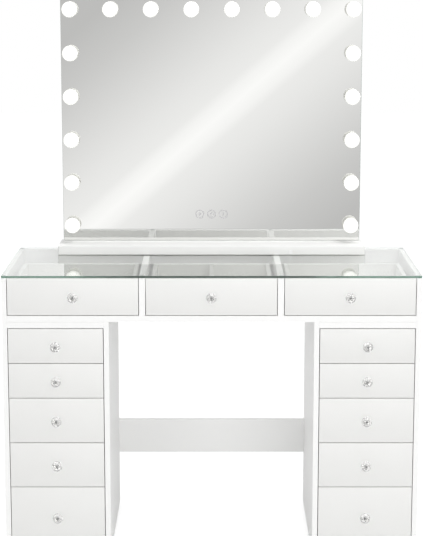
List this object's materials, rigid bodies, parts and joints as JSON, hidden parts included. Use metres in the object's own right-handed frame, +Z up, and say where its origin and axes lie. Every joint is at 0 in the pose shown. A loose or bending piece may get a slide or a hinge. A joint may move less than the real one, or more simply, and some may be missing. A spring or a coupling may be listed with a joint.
{
  "type": "styling station",
  "caption": "Glass-topped styling table on two drawer pedestals, with a frameless mirror ringed by globe lamps on a low base.",
  "frame": {"origin": "centre of the station's box, on the floor", "axes": "+X to the sitter's right when facing the mirror, +Y from the front towards the back, +Z up"},
  "size_m": [1.2, 0.523, 1.6005],
  "materials": {
    "white_board": "white laminated board, satin",
    "box_board": "white foil-wrapped drawer board, with zinc-plated runner members",
    "clear_glass": "clear tempered glass, green at its polished edges",
    "clear_silicone": "clear silicone",
    "silvered_glass": "silvered mirror glass, polished edge",
    "frame_aluminium": "anodised, satin",
    "white_enamel": "white powder coat, satin",
    "white_plastic": "moulded, glossy",
    "frosted_globe": "frosted white globe",
    "crystal": "clear cut crystal acrylic on a chromed rosette",
    "runner_steel": "zinc-plated rolled steel",
    "screw_steel": "zinc-plated",
    "grey_plastic": "moulded, matt",
    "black_plastic": "moulded, matt"
  },
  "bodies": {
    "station": {"glass_top": "clear_glass", "clear_pads": "clear_silicone", "table_uprights": "white_board", "carcass_shelves": "white_board", "back_panels": "white_board", "pedestal_side_panels": "white_board", "cross_panel": "white_board", "cabinet_runners": "runner_steel", "feet": "grey_plastic", "fasteners": "screw_steel", "mirror_base": "white_enamel", "base_plate": "white_enamel", "lamp_driver": "grey_plastic", "mirror_frame": "frame_aluminium", "mirror_back_cover": "white_enamel", "mirror_glass": "silvered_glass", "lamp_holders": "white_plastic", "bulbs": "frosted_globe", "touch_sensors": "grey_plastic", "charging_port": "white_plastic", "power_inlet": "black_plastic"},
    "table_left_drawer": {"table_left_front": "white_board", "table_left_box": "box_board", "table_left_knob": "crystal"},
    "table_middle_drawer": {"table_middle_front": "white_board", "table_middle_box": "box_board", "table_middle_knob": "crystal"},
    "table_right_drawer": {"table_right_front": "white_board", "table_right_box": "box_board", "table_right_knob": "crystal"},
    "left_1_drawer": {"left_1_front": "white_board", "left_1_box": "box_board", "left_1_knob": "crystal"},
    "left_2_drawer": {"left_2_front": "white_board", "left_2_box": "box_board", "left_2_knob": "crystal"},
    "left_3_drawer": {"left_3_front": "white_board", "left_3_box": "box_board", "left_3_knob": "crystal"},
    "left_4_drawer": {"left_4_front": "white_board", "left_4_box": "box_board", "left_4_knob": "crystal"},
    "left_5_drawer": {"left_5_front": "white_board", "left_5_box": "box_board", "left_5_knob": "crystal"},
    "right_1_drawer": {"right_1_front": "white_board", "right_1_box": "box_board", "right_1_knob": "crystal"},
    "right_2_drawer": {"right_2_front": "white_board", "right_2_box": "box_board", "right_2_knob": "crystal"},
    "right_3_drawer": {"right_3_front": "white_board", "right_3_box": "box_board", "right_3_knob": "crystal"},
    "right_4_drawer": {"right_4_front": "white_board", "right_4_box": "box_board", "right_4_knob": "crystal"},
    "right_5_drawer": {"right_5_front": "white_board", "right_5_box": "box_board", "right_5_knob": "crystal"}
  },
  "joints": [
    {"name": "table_left_slide", "type": "slide", "parent": "station", "child": "table_left_drawer", "axis": [0, -1, 0], "range_m": [0, 0.26]},
    {"name": "table_middle_slide", "type": "slide", "parent": "station", "child": "table_middle_drawer", "axis": [0, -1, 0], "range_m": [0, 0.26]},
    {"name": "table_right_slide", "type": "slide", "parent": "station", "child": "table_right_drawer", "axis": [0, -1, 0], "range_m": [0, 0.26]},
    {"name": "left_1_slide", "type": "slide", "parent": "station", "child": "left_1_drawer", "axis": [0, -1, 0], "range_m": [0, 0.34]},
    {"name": "left_2_slide", "type": "slide", "parent": "station", "child": "left_2_drawer", "axis": [0, -1, 0], "range_m": [0, 0.34]},
    {"name": "left_3_slide", "type": "slide", "parent": "station", "child": "left_3_drawer", "axis": [0, -1, 0], "range_m": [0, 0.34]},
    {"name": "left_4_slide", "type": "slide", "parent": "station", "child": "left_4_drawer", "axis": [0, -1, 0], "range_m": [0, 0.34]},
    {"name": "left_5_slide", "type": "slide", "parent": "station", "child": "left_5_drawer", "axis": [0, -1, 0], "range_m": [0, 0.34]},
    {"name": "right_1_slide", "type": "slide", "parent": "station", "child": "right_1_drawer", "axis": [0, -1, 0], "range_m": [0, 0.34]},
    {"name": "right_2_slide", "type": "slide", "parent": "station", "child": "right_2_drawer", "axis": [0, -1, 0], "range_m": [0, 0.34]},
    {"name": "right_3_slide", "type": "slide", "parent": "station", "child": "right_3_drawer", "axis": [0, -1, 0], "range_m": [0, 0.34]},
    {"name": "right_4_slide", "type": "slide", "parent": "station", "child": "right_4_drawer", "axis": [0, -1, 0], "range_m": [0, 0.34]},
    {"name": "right_5_slide", "type": "slide", "parent": "station", "child": "right_5_drawer", "axis": [0, -1, 0], "range_m": [0, 0.34]}
  ]
}
